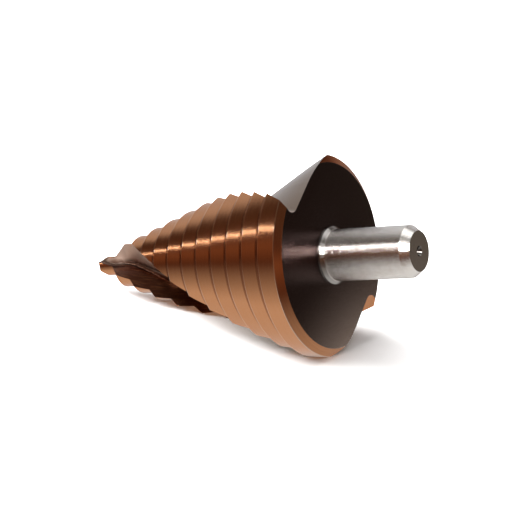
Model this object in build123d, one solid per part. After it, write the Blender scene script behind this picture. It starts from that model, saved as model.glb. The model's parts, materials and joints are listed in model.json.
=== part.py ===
from build123d import *
import math
import os

# Step drill with two spiral flutes, one turned and ground piece of tool steel.
# Lengths in mm, angles in degrees. The tool is built on its own axis first:
# tool +Z runs out through the shank, tool z = 0 is the rear rim of the widest
# step, and "depth" is the distance from that rim towards the point.

# Steps
largest_d = 39.0
step_d = 3.0
step_count = 11
step_pitch = 4.6
largest_land = 3.4
shoulder_angle = 45.0
rear_bevel_r = 1.6
rear_bevel_z = 0.95

# Pilot point
pilot_d = 4.0
pilot_land = 3.9
point_angle = 118.0
lip_turn = 210.0
lip_relief = 30.0
heel_relief = 52.4
point_stock = 1.0

# Shank
shank_d = 10.0
shank_length = 18.75
shank_bevel_r = 1.15
shank_bevel_z = 1.6
collar_d = 11.2
collar_land = 0.45
collar_blend = 0.6

# Centre hole in the end of the shank
centre_mouth_d = 2.0
centre_drill_d = 0.9
centre_drill_depth = 2.2
centre_angle = 60.0

# Flutes
flute_count = 2
flute_start = 42.1
flute_turn = 0.363
flute_cone_turn = 58.8
flute_cone_margin = 0.7
flute_tip_cone_r = 1.75
flute_depth = 5.5
flute_reach = 7.0
flute_overrun_rear = 2.0
flute_overrun_tip = 1.5
core_side = -0.9
core_blend = 0.5
run_out_depth = 49.2
run_out_rise = 2.1
run_out_length = 3.0
rake_back = 3.6
rake_tip = -0.64
root_r = 2.0
wall_lean_tip = 30.0
wall_flat = 6.9
wall_bend_r = 22.0
wall_bend_angle = 42.0
flute_sections = 20

# How the tool lies: rise of the axis towards the shank and the side that is down
lie_rise = 14.83
lie_side = -101.14

rim_r = largest_d / 2
shoulder_z = step_d / 2 / math.tan(math.radians(shoulder_angle))
first_step_r = rim_r - (step_count - 1) * step_d / 2
first_step_z = largest_land + (step_count - 1) * step_pitch
pilot_shoulder_z = (first_step_r - pilot_d / 2) / math.tan(math.radians(shoulder_angle))
pilot_corner_z = first_step_z + pilot_shoulder_z + pilot_land
tip_z = pilot_corner_z + pilot_d / 2 / math.tan(math.radians(point_angle / 2))
cone_fall = (rim_r + flute_cone_margin - flute_tip_cone_r) / tip_z


def step_corners():
    """Front and rear corners of each cylindrical land, from the widest step down."""
    corners = []
    for k in range(step_count):
        radius = rim_r - k * step_d / 2
        front = largest_land + k * step_pitch
        rear = 0.0 if k == 0 else front - step_pitch + shoulder_z
        corners.append((radius, -rear))
        corners.append((radius, -front))
    return corners


def turned_body():
    """The stepped head and the shank, turned about the axis. The pilot has some
    stock left on its end for grinding the point."""
    end_z = rear_bevel_z + shank_length
    collar_top = rear_bevel_z + collar_land
    outline = [(0.0, end_z)]
    outline.append((shank_d / 2 - shank_bevel_r, end_z))
    outline.append((shank_d / 2, end_z - shank_bevel_z))
    outline.append((shank_d / 2, collar_top + collar_blend))
    outline.append((collar_d / 2, collar_top))
    outline.append((collar_d / 2, rear_bevel_z))
    outline.append((rim_r - rear_bevel_r, rear_bevel_z))
    outline.extend(step_corners())
    outline.append((pilot_d / 2, -first_step_z - pilot_shoulder_z))
    outline.append((pilot_d / 2, -tip_z - point_stock))
    outline.append((0.0, -tip_z - point_stock))
    points = [Vector(radius, 0, z) for radius, z in outline]
    profile = Face(Wire.make_polygon(points, close=True))
    return revolve(profile, Axis.Z)


def centre_hole():
    """Countersunk lathe centre in the end face of the shank."""
    end_z = rear_bevel_z + shank_length
    sink_z = (centre_mouth_d - centre_drill_d) / 2 / math.tan(math.radians(centre_angle / 2))
    bottom_z = end_z - centre_drill_depth
    points = [
        Vector(0, 0, end_z),
        Vector(centre_mouth_d / 2, 0, end_z),
        Vector(centre_drill_d / 2, 0, end_z - sink_z),
        Vector(centre_drill_d / 2, 0, bottom_z),
        Vector(0, 0, bottom_z - centre_drill_d / 4),
    ]
    return revolve(Face(Wire.make_polygon(points, close=True)), Axis.Z)


def cone_r(depth):
    """Radius of the cone the flutes follow."""
    return rim_r + flute_cone_margin - cone_fall * depth


def flute_angle(depth):
    """Turn of the flute, which quickens as the cone narrows."""
    return flute_start + flute_turn * depth + flute_cone_turn * math.log(cone_r(0) / cone_r(depth))


def wall_offset(depth):
    """Distance of the flute wall from the axis: it follows the cone down to the
    core, stays there, and runs out again towards the point."""
    above_core = (cone_r(depth) - flute_depth - core_side) / 2
    run_out = run_out_rise * math.tanh(max(0, depth - run_out_depth) / run_out_length)
    return core_side + above_core + math.hypot(above_core, core_blend) + run_out


def flute_section(depth):
    """Cross-section of one flute: rake face, root, and wall behind the land ahead.
    The wall leans back more and more towards the point."""
    rake = -(rake_back + (rake_tip - rake_back) * depth / tip_z)
    root = root_r * math.sqrt(cone_r(depth) / cone_r(0))
    root_u = wall_offset(depth) + root
    lean = math.radians(wall_lean_tip) * (depth / tip_z) ** 6
    half_turn = math.radians(wall_bend_angle / 2)
    outer = root_u + cone_r(depth) + flute_reach

    def on_root(turn):
        return (root_u - root * math.sin(turn), rake + root - root * math.cos(turn))

    foot = on_root(math.pi / 2 - lean)
    bend = (foot[0] - wall_flat * math.sin(lean), foot[1] + wall_flat * math.cos(lean))

    def on_bend(turn):
        along = wall_bend_r * (math.sin(lean + turn) - math.sin(lean))
        back = wall_bend_r * (math.cos(lean) - math.cos(lean + turn))
        return (bend[0] - back, bend[1] + along)

    end = on_bend(2 * half_turn)
    edges = [
        Line((outer, rake), on_root(0)),
        ThreePointArc(on_root(0), on_root(math.pi / 4 - lean / 2), foot),
        Line(foot, bend),
        ThreePointArc(bend, on_bend(half_turn), end),
        Line(end, (outer, end[1])),
        Line((outer, end[1]), (outer, rake)),
    ]
    angle = math.radians(flute_angle(depth))
    place = Plane(
        origin=(0, 0, -depth),
        x_dir=(math.cos(angle), -math.sin(angle), 0),
        z_dir=(0, 0, -1),
    )
    return place * Face(Wire(edges))


def flute():
    """One flute, lofted through sections that crowd together as it turns faster."""
    rear_r = cone_r(-flute_overrun_rear)
    ratio = cone_r(tip_z + flute_overrun_tip) / rear_r
    sections = []
    for k in range(flute_sections):
        radius = rear_r * ratio ** (k / (flute_sections - 1))
        sections.append(flute_section((cone_r(0) - radius) / cone_fall))
    return loft(sections)


def point_facet(fall_along_lip, relief):
    """What grinding one facet takes off the point, on the side behind a lip that
    runs along +X. The facet falls away from the tip along the lip and behind it."""
    reach = 2 * pilot_d + 2 * point_stock
    fall_behind = math.tan(math.radians(relief))
    facet = Plane(origin=(0, 0, -tip_z), z_dir=(-fall_along_lip, -fall_behind, 1))
    ground_off = facet * Box(reach, reach, reach, align=(Align.CENTER, Align.CENTER, Align.MAX))
    behind_lip = Box(2 * reach, reach, 4 * reach, align=(Align.CENTER, Align.MIN, Align.CENTER))
    return ground_off & Pos(0, 0, -tip_z) * behind_lip


def ground_point():
    """All that is ground off the point: a lip facet and a steeper heel facet for
    each of the two lips."""
    lip_fall = 1 / math.tan(math.radians(point_angle / 2))
    lip_facet = point_facet(lip_fall, lip_relief)
    heel_facet = point_facet(-lip_fall, heel_relief)
    cuts = []
    for k in range(flute_count):
        turn = Rotation(0, 0, -lip_turn + 360 * k / flute_count)
        cuts.append(turn * lip_facet)
        cuts.append(turn * heel_facet)
    return cuts


def step_drill():
    """The whole drill on its own axis."""
    body = turned_body() - centre_hole()
    groove = flute()
    for k in range(flute_count):
        body -= Rotation(0, 0, 360 * k / flute_count) * groove
    for cut in ground_point():
        body -= cut
    return body


def lay_down(tool):
    """Turn the tool onto its side, shank towards +X, with the centre of its
    footprint box at the origin and its lowest corners on z = 0."""
    lying = Rotation(0, 90 - lie_rise, 0) * Rotation(0, 0, lie_side) * tool
    box = lying.bounding_box()
    return Pos(-box.center().X, -box.center().Y, -box.min.Z) * lying


os.makedirs("parts", exist_ok=True)
drill = lay_down(step_drill())
export_step(drill, "parts/step_drill.step")
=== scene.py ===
import json
import math
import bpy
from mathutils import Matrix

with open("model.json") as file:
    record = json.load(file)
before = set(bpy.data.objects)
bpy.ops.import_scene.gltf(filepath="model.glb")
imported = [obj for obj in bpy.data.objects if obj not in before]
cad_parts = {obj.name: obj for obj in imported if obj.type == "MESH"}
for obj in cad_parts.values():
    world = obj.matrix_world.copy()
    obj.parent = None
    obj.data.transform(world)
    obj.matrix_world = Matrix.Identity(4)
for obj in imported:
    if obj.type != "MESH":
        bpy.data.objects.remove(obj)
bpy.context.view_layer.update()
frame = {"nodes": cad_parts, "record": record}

from types import SimpleNamespace

import bpy
from mathutils import Matrix, Vector

print("frame loaded")


class Value:
    # wraps a socket, so that sums written on it add their Math nodes
    def __init__(self, shader, socket):
        self.shader = shader
        self.socket = socket

    def math(self, operation, *others):
        return self.shader.math(operation, self, *others)

    def __add__(self, other):
        return self.math("ADD", other)

    def __sub__(self, other):
        return self.math("SUBTRACT", other)

    def __rsub__(self, other):
        return self.shader.math("SUBTRACT", other, self)

    def __mul__(self, other):
        return self.math("MULTIPLY", other)

    def __truediv__(self, other):
        return self.math("DIVIDE", other)

    def __rtruediv__(self, other):
        return self.shader.math("DIVIDE", other, self)

    def __gt__(self, other):
        return self.math("GREATER_THAN", other)

    def __lt__(self, other):
        return self.math("LESS_THAN", other)

    __radd__ = __add__
    __rmul__ = __mul__


class Shader:
    def __init__(self, tree):
        self.tree = tree
        tree.nodes.clear()

    def node(self, kind, settings=None, inputs=None, output=0):
        made = self.tree.nodes.new(kind)
        for name, value in (settings or {}).items():
            if name == "stops":
                self.setStops(made.color_ramp, value)
            else:
                setattr(made, name, value)
        pairs = inputs.items() if isinstance(inputs, dict) else enumerate(inputs or [])
        for key, value in pairs:
            if isinstance(value, Value):
                self.tree.links.new(value.socket, made.inputs[key])
            else:
                made.inputs[key].default_value = value
        return Value(self, made.outputs[output]) if made.outputs else None

    def setStops(self, ramp, stops):
        while len(ramp.elements) < len(stops):
            ramp.elements.new(0.5)
        for element, (place, color) in zip(ramp.elements, stops):
            element.position = place
            element.color = color

    def outputs(self, value, names):
        made = value.socket.node
        return [Value(self, made.outputs[name]) for name in names]

    def math(self, operation, *values):
        return self.node("ShaderNodeMath", {"operation": operation}, values)

    def mixColor(self, factor, first, second):
        return self.node("ShaderNodeMix", {"data_type": "RGBA"}, {0: factor, 6: first, 7: second}, 2)

    def mixValue(self, factor, first, second):
        return self.node("ShaderNodeMix", {"data_type": "FLOAT"}, {0: factor, 2: first, 3: second})

    def vector(self, x, y, z):
        return self.node("ShaderNodeCombineXYZ", None, [x, y, z])

    def noise(self, vector, scale=1.0, detail=2.0, rough=0.5):
        return self.node("ShaderNodeTexNoise", None,
                         {"Vector": vector, "Scale": scale, "Detail": detail, "Roughness": rough})


# the drill's own sizes in mm, used to tell its lands, flutes, bevels and shank apart; they start
# at the rear rim, and run to the point for the lands and the pilot and to the shank for the rest
drill = {
    "node": "step_drill",
    "mountDepth": 10.05,       # from the rear rim to the middle of the shank's mount
    "rimR": 19.5,
    "stepR": 1.5,
    "stepPitch": 4.6,
    "firstLand": 3.4,
    "lastStep": 10,
    "pilotR": 2.0,
    "pilotEnd": 55.8,
    "pointSlope": 1.664,       # fall in radius for each mm of the point
    "rearBevel": 0.95,
    "rearBevelR": 1.6,
    "collarEnd": 2.0,
    "shankR": 5.0,
    "shankEnd": 19.7,
    "holeR": 1.05,
    "slack": 0.01,
    "collarSlack": 0.02,
    "fluteSlack": 0.06,        # what lies deeper than this in the turned shape is a flute
}

# how the flutes wind, so that their grinding lines run along them
flute = {
    "start": 42.1,
    "turn": 0.363,
    "coneTurn": 58.8,
    "coneMargin": 0.7,
    "coneFall": 0.3239,
    "leastConeR": 0.5,
    "lean": -101.14,           # how the lying drill is turned about its axis, in degrees
    "rakeBack": -3.6,
    "rakeSlope": 0.0743,       # how the rake face nears the axis along the depth
    "rootRise": 1.5,
}

# where the drill's axis lies, from the shank's mount
shankMount = frame["record"]["mounts"][0]
axis = Vector(shankMount["axis"]).normalized()
rimCentre = Vector(shankMount["pos_m"]) - axis * drill["mountDepth"] / 1000
axisLean = math.atan2(axis.x, axis.z)


def placeOnDrill(shader):
    # in mm: across the axis, along it towards the shank, and out from it
    place = shader.node("ShaderNodeTexCoord", None, None, "Object")
    turned = shader.node("ShaderNodeMapping", {"vector_type": "TEXTURE"},
                         {"Vector": place, "Location": rimCentre, "Rotation": (0, axisLean, 0)})
    inMm = shader.node("ShaderNodeVectorMath", {"operation": "SCALE"}, {0: turned, "Scale": 1000})
    x, y, along = shader.outputs(shader.node("ShaderNodeSeparateXYZ", None, [inMm]), "XYZ")
    radius = (x * x + y * y).math("SQRT")
    return SimpleNamespace(inMm=inMm, x=x, y=y, along=along, depth=0 - along, radius=radius)


def stepHere(spot):
    # which step this is, where 0 is the widest, and how far it lies in front of the step behind
    fromFirst = spot.depth - drill["firstLand"]
    number = (fromFirst / drill["stepPitch"]).math("CEIL")
    number = number.math("MAXIMUM", 0).math("MINIMUM", drill["lastStep"])
    inStep = fromFirst - (number - 1) * drill["stepPitch"]
    lastFront = drill["firstLand"] + drill["lastStep"] * drill["stepPitch"]
    return SimpleNamespace(number=number, inStep=inStep, pastFirst=fromFirst > 0,
                           lastFront=lastFront, onPilot=spot.depth > lastFront)


def turnedRadius(shader, spot, step):
    # the radius that the lathe left here, before the flutes were ground
    shoulderRise = (drill["stepR"] - step.inStep).math("MAXIMUM", 0) * step.pastFirst
    landR = drill["rimR"] - step.number * drill["stepR"]
    rearFall = spot.depth.math("MINIMUM", 0) * (drill["rearBevelR"] / drill["rearBevel"])
    lastR = drill["rimR"] - drill["lastStep"] * drill["stepR"]
    pilotShoulder = (lastR + step.lastFront - spot.depth).math("MAXIMUM", drill["pilotR"])
    pointR = (drill["pilotEnd"] - spot.depth) * drill["pointSlope"] + drill["pilotR"]
    return shader.mixValue(step.onPilot, landR + shoulderRise + rearFall,
                           pilotShoulder.math("MINIMUM", pointR))


def areasOf(shader, spot, step):
    # masks, each 1 on its own area and 0 off it
    slack = drill["slack"]
    bare = spot.along > drill["rearBevel"] + slack
    head = 1 - bare
    rear = (spot.along > drill["rearBevel"] - slack) * head
    inside = spot.radius < turnedRadius(shader, spot, step) - drill["fluteSlack"]
    beforeEnd = spot.along < drill["shankEnd"] - slack
    outsideShank = spot.radius > drill["shankR"] + drill["collarSlack"]
    return SimpleNamespace(
        bare=bare,
        rear=rear,
        flute=inside * (1 - rear) * head,
        end=spot.along > drill["shankEnd"] - slack,
        hole=bare * (spot.radius < drill["holeR"]) * beforeEnd,
        collar=(spot.along < drill["collarEnd"]) * outsideShank)


# the bronze-coloured coating on the lands, with painted highlights on the front edges and painted
# shade on the shoulders and the inner corners behind them
coating = {
    "color": (0.64, 0.31, 0.155, 1),
    "deepColor": (0.55, 0.235, 0.10, 1),
    "cloudsPerMm": 0.16,
    "speckleColor": (0.66, 0.48, 0.38, 1),
    "specklesPerMm": 5.0,
    "speckleFrom": 0.45,
    "speckleShare": 0.6,
    # painted shade: the shoulders and the inner corners behind them are darkened
    "cornerShadeColor": (0.10, 0.035, 0.018, 1),
    "cornerWidth": 0.14,
    "cornerShadeShare": 0.35,
    # painted highlight: a light line along each land's front edge and along the rear rim
    "edgeHighlightColor": (0.80, 0.62, 0.50, 1),
    "edgeWidth": 0.08,
    "edgeHighlightShare": 0.6,
    "roughness": 0.155,
    "roughnessSpread": 0.08,
    "linesPerMm": 6.0,
    "breaksPerMm": 0.06,       # how soon a line changes on its way round
    "lineHeight": 0.026,
}


def coatColor(shader, spot, step, rings):
    cloud = shader.noise(spot.inMm, coating["cloudsPerMm"], detail=3.0)
    speckle = shader.noise(spot.inMm, coating["specklesPerMm"], detail=4.0, rough=0.7)
    speckle = (speckle - coating["speckleFrom"]).math("MAXIMUM", 0) * coating["speckleShare"]
    onSteps = 1 - step.onPilot
    # painted shade on each shoulder and a little way onto the land behind it
    corner = (step.inStep > 0) * (step.inStep < drill["stepR"] + coating["cornerWidth"])
    corner = corner * step.pastFirst * onSteps
    # painted highlight along the front edge of each land and along the rear rim
    frontEdge = step.inStep > drill["stepPitch"] - coating["edgeWidth"]
    rearEdge = spot.depth.math("ABSOLUTE") < coating["edgeWidth"]
    edge = (frontEdge + rearEdge).math("MINIMUM", 1) * onSteps
    color = shader.mixColor(rings * 0.5 + cloud * 0.5, coating["deepColor"], coating["color"])
    color = shader.mixColor(speckle, color, coating["speckleColor"])
    color = shader.mixColor(corner * coating["cornerShadeShare"], color, coating["cornerShadeColor"])
    return shader.mixColor(edge * coating["edgeHighlightShare"], color, coating["edgeHighlightColor"])


# the flutes: the wall turns duller towards the point and has painted light that makes it lighter
# there; the rake face has painted shade that darkens it towards the point, and painted reflection
# streaks along it
fluteFinish = {
    "wallColor": (0.225, 0.158, 0.112, 1),
    # painted light: the flute wall is made lighter towards the point
    "tipWallLightColor": (0.90, 0.70, 0.58, 1),
    "rakeColor": (0.52, 0.24, 0.12, 1),
    # painted shade: the rake face deep in the flute is darkened towards the point
    "tipRakeShadeColor": (0.085, 0.026, 0.013, 1),
    "fadeFrom": 8.0,
    "fadeTo": 26.0,
    "roughness": 0.15,
    "tipWallRoughness": 0.5,
    "linesPerMm": 4.0,
    "breaksPerMm": 0.12,
    "lineHeight": 0.012,
    # painted reflection: light streaks on the rake face where the grinding lines rise
    "reflectionStreakFrom": 0.5,
    "reflectionStreakShare": 1.5,
}


def fluteHere(shader, spot):
    # the place seen from a frame that winds with the flutes: u out along the rake face, v across it
    coneR = drill["rimR"] + flute["coneMargin"]
    coneHere = (coneR - spot.depth * flute["coneFall"]).math("MAXIMUM", flute["leastConeR"])
    winding = (coneR / coneHere).math("LOGARITHM", math.e) * flute["coneTurn"]
    winding = winding + spot.depth * flute["turn"]
    angle = (winding + flute["start"] - flute["lean"]) * math.radians(1)
    cosine = angle.math("COSINE")
    sine = angle.math("SINE")
    u = spot.x * cosine - spot.y * sine
    v = spot.x * sine + spot.y * cosine

    perMm = fluteFinish["linesPerMm"]
    lineSpot = shader.vector(u * perMm, v * perMm, spot.depth * fluteFinish["breaksPerMm"])
    lines = shader.noise(lineSpot, detail=3.0, rough=0.6)
    fromRake = 0 - v * u.math("SIGN") - spot.depth * flute["rakeSlope"] - flute["rakeBack"]
    onWall = (fromRake.math("ABSOLUTE") / flute["rootRise"]).math("MINIMUM", 1)
    fade = fluteFinish["fadeTo"] - fluteFinish["fadeFrom"]
    nearTip = (spot.depth - fluteFinish["fadeFrom"]) / fade
    nearTip = nearTip.math("MAXIMUM", 0).math("MINIMUM", 1)
    return SimpleNamespace(lines=lines, onWall=onWall, nearTip=nearTip)


def fluteColor(shader, groove):
    # painted light on the wall and painted shade on the rake face, both growing towards the point
    wall = shader.mixColor(groove.nearTip, fluteFinish["wallColor"], fluteFinish["tipWallLightColor"])
    rake = shader.mixColor(groove.nearTip, fluteFinish["rakeColor"], fluteFinish["tipRakeShadeColor"])
    # painted reflection streaks along the flute, where the grinding lines rise
    lit = (groove.lines - fluteFinish["reflectionStreakFrom"]).math("MAXIMUM", 0) * fluteFinish["reflectionStreakShare"]
    rake = shader.mixColor(lit, rake, coating["deepColor"])
    return shader.mixColor(groove.onWall, rake, wall)


# the dark rear face, with painted light that makes it brighter towards one side
rearFinish = {
    "color": (0.056, 0.033, 0.030, 1),
    "paintedLightColor": (0.52, 0.41, 0.36, 1),
    "paintedLightWay": (0.95, 0.31),  # the way to it from the axis
    "paintedLightReach": 17.0,             # the painted light is full this far out
    "roughness": 0.19,
    "lineHeight": 0.040,
    "dish": 0.003,             # fall towards the rim, in mm for each square mm
    "dishFrom": 5.6,
}


def rearColor(shader, spot):
    sideX, sideY = rearFinish["paintedLightWay"]
    # painted light: the rear face brightens towards one side, more so further out
    paintedShare = (spot.x * sideX + spot.y * sideY).math("MAXIMUM", 0) / rearFinish["paintedLightReach"]
    return shader.mixColor(paintedShare * paintedShare, rearFinish["color"], rearFinish["paintedLightColor"])


# the ground steel of the collar and shank
bareSteel = {
    "color": (0.82, 0.78, 0.735, 1),
    "warmColor": (0.72, 0.64, 0.58, 1),
    "warmFrom": 0.45,
    "endColor": (0.58, 0.54, 0.50, 1),
    "collarColor": (0.36, 0.34, 0.32, 1),
    # painted shade darkening the centre hole
    "holeShadeColor": (0.13, 0.12, 0.11, 1),
    "roughness": 0.14,
    "roughnessSpread": 0.03,
    "linesPerMm": 20.0,
    "breaksPerMm": 1.5,
    "lineHeight": 0.064,
    "endLineHeight": 0.004,
    "bandsPerMm": 1.3,         # broad bands, besides the fine lines
    "bandBreaksPerMm": 0.05,
}


def steelColor(shader, areas, bands):
    warm = (bands - bareSteel["warmFrom"]).math("MAXIMUM", 0)
    color = shader.mixColor(warm, bareSteel["color"], bareSteel["warmColor"])
    color = shader.mixColor(areas.end, color, bareSteel["endColor"])
    color = shader.mixColor(areas.collar, color, bareSteel["collarColor"])
    # painted shade in the centre hole
    return shader.mixColor(areas.hole, color, bareSteel["holeShadeColor"])


def ringNoise(shader, spot, ringsPerMm, breaksPerMm, detail, rough):
    # rings round the axis, on the turned sides and on the flat faces alike
    ringSpot = shader.vector(spot.x * breaksPerMm, spot.y * breaksPerMm,
                             (spot.along + spot.radius) * ringsPerMm)
    return shader.noise(ringSpot, detail=detail, rough=rough)


def vary(value, pattern, spread):
    # moves a value up and down a little by a pattern
    return pattern * spread + value - spread / 2


def lineRelief(shader, spot, areas, rings, groove):
    # the height of the lines in mm; the rear face also falls away a little towards its rim
    steelHeight = shader.mixValue(areas.end + areas.hole, bareSteel["lineHeight"],
                                  bareSteel["endLineHeight"])
    ringHeight = shader.mixValue(areas.bare, coating["lineHeight"], steelHeight)
    ringHeight = shader.mixValue(areas.rear, ringHeight, rearFinish["lineHeight"])
    height = shader.mixValue(areas.flute, rings * ringHeight,
                             groove.lines * fluteFinish["lineHeight"])
    outward = (spot.radius - rearFinish["dishFrom"]).math("MAXIMUM", 0)
    return height - areas.rear * outward * outward * rearFinish["dish"]


def drillMaterial():
    material = bpy.data.materials.new("groundStepDrill")
    material.use_nodes = True
    shader = Shader(material.node_tree)
    spot = placeOnDrill(shader)
    step = stepHere(spot)
    areas = areasOf(shader, spot, step)
    groove = fluteHere(shader, spot)

    # turning lines all over, and the shank's broad bands
    linesPerMm = shader.mixValue(areas.bare, coating["linesPerMm"], bareSteel["linesPerMm"])
    breaksPerMm = shader.mixValue(areas.bare + areas.rear, coating["breaksPerMm"],
                                  bareSteel["breaksPerMm"])
    rings = ringNoise(shader, spot, linesPerMm, breaksPerMm, detail=3.0, rough=0.6)
    bands = ringNoise(shader, spot, bareSteel["bandsPerMm"], bareSteel["bandBreaksPerMm"],
                      detail=2.0, rough=0.5)

    color = shader.mixColor(areas.flute, coatColor(shader, spot, step, rings),
                            fluteColor(shader, groove))
    color = shader.mixColor(areas.rear, color, rearColor(shader, spot))
    color = shader.mixColor(areas.bare, color, steelColor(shader, areas, bands))

    coatRoughness = vary(coating["roughness"], rings, coating["roughnessSpread"])
    fluteRoughness = shader.mixValue(groove.onWall * groove.nearTip, fluteFinish["roughness"],
                                     fluteFinish["tipWallRoughness"])
    steelRoughness = vary(bareSteel["roughness"], bands, bareSteel["roughnessSpread"])
    roughness = shader.mixValue(areas.flute, coatRoughness, fluteRoughness)
    roughness = shader.mixValue(areas.rear, roughness, rearFinish["roughness"])
    roughness = shader.mixValue(areas.bare, roughness, steelRoughness)

    height = lineRelief(shader, spot, areas, rings, groove)
    bump = shader.node("ShaderNodeBump", None, {"Height": height, "Strength": 1.0, "Distance": 0.001})
    finish = shader.node("ShaderNodeBsdfPrincipled", None, {
        "Base Color": color, "Metallic": 1.0, "Roughness": roughness, "Normal": bump})
    shader.node("ShaderNodeOutputMaterial", None, {"Surface": finish})
    return material


body = frame["nodes"][drill["node"]]
body.data.materials.clear()
body.data.materials.append(drillMaterial())
print("drill finished")


camera = {
    "place": (0.162832, -0.260851, 0.102857),
    "turn": (73.9123, -4.3008, 33.0303),
    "lens": 113.39,
    "sensor": 36.0,
}


def makeCamera():
    lensData = bpy.data.cameras.new("camera")
    lensData.lens = camera["lens"]
    lensData.sensor_width = camera["sensor"]
    eye = bpy.data.objects.new("camera", lensData)
    eye.location = camera["place"]
    eye.rotation_euler = [math.radians(angle) for angle in camera["turn"]]
    bpy.context.scene.collection.objects.link(eye)
    bpy.context.scene.camera = eye


whiteFloor = {"size": 6.0, "color": (0.9, 0.9, 0.9, 1)}


def makeFloor():
    bpy.ops.object.select_all(action="DESELECT")
    bpy.ops.mesh.primitive_plane_add(size=whiteFloor["size"], location=(0, 0, 0))
    floor = bpy.context.object
    floor.name = "floor"
    material = bpy.data.materials.new("floorWhite")
    material.use_nodes = True
    shader = Shader(material.node_tree)
    matt = shader.node("ShaderNodeBsdfDiffuse", None, {"Color": whiteFloor["color"]})
    shader.node("ShaderNodeOutputMaterial", None, {"Surface": matt})
    floor.data.materials.append(material)
    floor.visible_glossy = False      # the metal sees the room's light instead
    floor.visible_shadow = False


# strip lights beside the drill: where they start and end along its axis from the rear rim, and
# how many degrees round it they stand, from level with it on the near side towards above it
strips = {
    "keyStrip": {"from": -1.45, "to": -0.13, "around": 43.3, "width": 0.032, "power": 1.08},
    "shankStrip": {"from": 0.32, "to": 1.5, "around": 36.5, "width": 0.18, "power": 22.0},
}
stripDistance = 1.0
floorLight = {"place": (-0.9, -0.3, 1.0), "size": 1.7, "power": 110.0}


def areaLight(name, place, target, longWay, length, width, power):
    data = bpy.data.lights.new(name, "AREA")
    data.shape = "RECTANGLE"
    data.size = length
    data.size_y = width
    data.energy = power
    light = bpy.data.objects.new(name, data)
    back = (place - target).normalized()
    side = (longWay - back * longWay.dot(back)).normalized()
    up = back.cross(side)
    light.rotation_euler = Matrix((side, up, back)).transposed().to_euler()
    light.location = place
    light.visible_camera = False
    bpy.context.scene.collection.objects.link(light)
    return light


def makeLights():
    near = Vector((0, -1, 0))
    above = axis.cross(Vector((0, 1, 0)))
    for name, strip in strips.items():
        turn = math.radians(strip["around"])
        direction = near * math.cos(turn) + above * math.sin(turn)
        centre = rimCentre + axis * (strip["from"] + strip["to"]) / 2
        light = areaLight(name, centre + direction * stripDistance, centre, axis,
                          strip["to"] - strip["from"], strip["width"], strip["power"])
        light.visible_diffuse = False      # it shines on the metal alone
    size = floorLight["size"]
    top = areaLight("floorLight", Vector(floorLight["place"]), Vector((0, 0, 0)),
                    Vector((1, 0, 0)), size, size, floorLight["power"])
    top.visible_glossy = False


# the light that the metal sees, by height: 0 is straight below and 1 is straight above
room = {
    "below": (0.12, (0.82, 0.81, 0.80, 1)),
    "low": (0.26, (0.47, 0.44, 0.42, 1)),
    "dark": (0.46, (0.105, 0.046, 0.028, 1)),
    "warm": (0.60, (0.25, 0.12, 0.066, 1)),
    "dim": (0.68, (0.105, 0.046, 0.028, 1)),
    "above": (0.84, (0.084, 0.056, 0.040, 1)),
    "top": (0.97, (0.45, 0.44, 0.43, 1)),
}
# round panels in it, bright or dim: the way they lie, how far out they are full and where they
# end, all in degrees, and their light
panels = [
    {"way": (138, 25), "inner": 28, "outer": 50, "color": (0.66, 0.66, 0.68, 1)},
    {"way": (67, 71), "inner": 14, "outer": 26, "color": (1.5, 1.5, 1.5, 1)},
    {"way": (57, 0), "inner": 16, "outer": 30, "color": (0.13, 0.105, 0.085, 1)},
    {"way": (57, -16), "inner": 4, "outer": 16, "color": (0.42, 0.40, 0.38, 1)},
    {"way": (-47, 38), "inner": 12, "outer": 26, "color": (1.9, 1.9, 1.9, 1)},
]
backdropColor = (1, 1, 1, 1)


def wayTo(turn, rise):
    turn, rise = math.radians(turn), math.radians(rise)
    return Vector((math.cos(rise) * math.cos(turn), math.cos(rise) * math.sin(turn), math.sin(rise)))


def makeRoom():
    world = bpy.data.worlds.new("studio")
    bpy.context.scene.world = world
    world.use_nodes = True
    shader = Shader(world.node_tree)
    way = shader.node("ShaderNodeTexCoord", None, None, "Generated")
    height = shader.node("ShaderNodeSeparateXYZ", None, [way], "Z") * 0.5 + 0.5
    glow = shader.node("ShaderNodeValToRGB", {"stops": list(room.values())}, {"Fac": height})
    for panel in panels:
        toward = shader.node("ShaderNodeVectorMath", {"operation": "DOT_PRODUCT"},
                             {0: way, 1: wayTo(*panel["way"])}, "Value")
        inside = shader.node("ShaderNodeMapRange", {"interpolation_type": "SMOOTHSTEP"}, {
            "Value": toward,
            "From Min": math.cos(math.radians(panel["outer"])),
            "From Max": math.cos(math.radians(panel["inner"]))})
        glow = shader.mixColor(inside, glow, panel["color"])
    seen = shader.node("ShaderNodeLightPath", None, None, "Is Camera Ray")
    color = shader.mixColor(seen, glow, backdropColor)
    background = shader.node("ShaderNodeBackground", None, {"Color": color, "Strength": 1.0})
    shader.node("ShaderNodeOutputWorld", None, {"Surface": background})


makeCamera()
makeFloor()
makeLights()
makeRoom()
bpy.context.scene.view_settings.view_transform = "Standard"
print("stage set")
